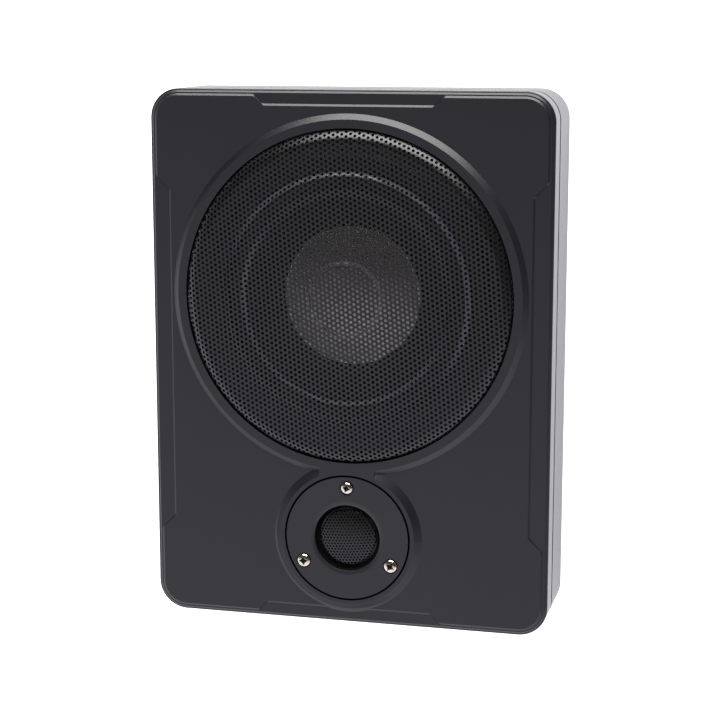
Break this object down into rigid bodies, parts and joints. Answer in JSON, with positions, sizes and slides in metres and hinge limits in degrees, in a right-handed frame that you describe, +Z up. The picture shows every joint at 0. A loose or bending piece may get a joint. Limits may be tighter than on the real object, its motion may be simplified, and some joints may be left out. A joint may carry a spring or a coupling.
{
  "type": "powered car subwoofer",
  "caption": "Flat rectangular powered subwoofer for use under a car seat, with a large perforated woofer grille, a small tweeter, a two-part case and a sunken socket panel.",
  "frame": {"origin": "middle of the footprint, on the floor under the rubber feet", "axes": "+X across the box to the right as seen facing the grille with the woofer uppermost, +Y along the box towards the woofer's end, +Z up, out of the grille"},
  "size_m": [0.25, 0.33, 0.0714],
  "materials": {
    "cover_paint": "satin",
    "case_paint": "satin, fine texture",
    "grille_paint": "satin",
    "faceplate": "satin",
    "nickel": "polished",
    "zinc_steel": "plated",
    "rubber": "matte",
    "cone_paper": "pressed paper",
    "spun_aluminium": "satin",
    "plain_aluminium": "mill",
    "copper_wire": "enamelled",
    "ferrite": "matte",
    "magnet_nickel": "plated",
    "treated_cloth": "woven",
    "silk": "coated",
    "basket_paint": "powder coat",
    "black_plastic": "moulded",
    "light_plastic": "moulded",
    "circuit_board": "solder mask",
    "brass_parts": "turned",
    "tinned_brass": "plated",
    "capacitor_sleeve": "shrunk sleeve",
    "film_capacitor": "dipped",
    "lead_insulation": "extruded",
    "panel_paint": "fine texture",
    "fuse_amber": "clear moulded",
    "led_lens": "clear moulded"
  },
  "bodies": {
    "box": {"front_cover": "cover_paint", "rear_case": "case_paint", "woofer_grille": "grille_paint", "tweeter_grille": "grille_paint", "tweeter_plate": "faceplate", "tweeter_screws": "nickel", "case_screws": "zinc_steel", "panel_screws": "zinc_steel", "board_screws": "zinc_steel", "woofer_screws": "zinc_steel", "top_plate": "zinc_steel", "magnet_yoke": "zinc_steel", "tweeter_top_plate": "zinc_steel", "tweeter_pole": "zinc_steel", "tweeter_yoke": "zinc_steel", "rubber_feet": "rubber", "woofer_surround": "rubber", "case_gasket": "rubber", "woofer_gasket": "rubber", "heat_bar": "plain_aluminium", "transformer": "copper_wire", "output_coils": "copper_wire", "tinsel_leads": "copper_wire", "woofer_magnet": "ferrite", "tweeter_magnet": "magnet_nickel", "spider": "treated_cloth", "tweeter_surround": "silk", "woofer_basket": "basket_paint", "tweeter_housing": "black_plastic", "speaker_input_socket": "black_plastic", "power_socket": "black_plastic", "remote_port": "black_plastic", "fuse_holder": "black_plastic", "potentiometers": "black_plastic", "phase_switch_body": "black_plastic", "power_transistors": "black_plastic", "amplifier_chips": "black_plastic", "amplifier_board": "circuit_board", "board_standoffs": "brass_parts", "woofer_terminals": "brass_parts", "tweeter_terminals": "brass_parts", "rca_jacks": "tinned_brass", "filter_capacitors": "capacitor_sleeve", "tweeter_capacitor": "film_capacitor", "woofer_leads": "lead_insulation", "tweeter_leads": "lead_insulation", "connector_panel": "panel_paint", "blade_fuse": "fuse_amber", "power_led": "led_lens"},
    "woofer_diaphragm": {"woofer_cone": "cone_paper", "dust_cap": "spun_aluminium", "voice_coil_former": "plain_aluminium", "voice_coil": "copper_wire"},
    "tweeter_diaphragm": {"tweeter_dome": "silk", "tweeter_coil": "copper_wire"},
    "gain_control": {"gain_knob": "black_plastic"},
    "crossover_control": {"crossover_knob": "black_plastic"},
    "bass_control": {"bass_knob": "black_plastic"},
    "phase_slider": {"phase_switch_slider": "light_plastic"}
  },
  "joints": [
    {"name": "woofer_stroke", "type": "slide", "parent": "box", "child": "woofer_diaphragm", "axis": [0, 0, 1], "range_m": [-0.005, 0.005], "stiffness_N_per_m": 3000, "deforming": ["woofer_surround", "spider", "tinsel_leads"]},
    {"name": "tweeter_stroke", "type": "slide", "parent": "box", "child": "tweeter_diaphragm", "axis": [0, 0, 1], "range_m": [-0.0003, 0.0003], "stiffness_N_per_m": 1000, "deforming": ["tweeter_surround"]},
    {"name": "gain_turn", "type": "hinge", "parent": "box", "child": "gain_control", "pos_m": [-0.026, -0.159, 0.024], "axis": [0, 1, 0], "range_deg": [-150, 150]},
    {"name": "crossover_turn", "type": "hinge", "parent": "box", "child": "crossover_control", "pos_m": [-0.008, -0.159, 0.024], "axis": [0, 1, 0], "range_deg": [-150, 150]},
    {"name": "bass_turn", "type": "hinge", "parent": "box", "child": "bass_control", "pos_m": [0.01, -0.159, 0.024], "axis": [0, 1, 0], "range_deg": [-150, 150]},
    {"name": "phase_slide", "type": "slide", "parent": "box", "child": "phase_slider", "axis": [1, 0, 0], "range_m": [0, 0.004]}
  ]
}
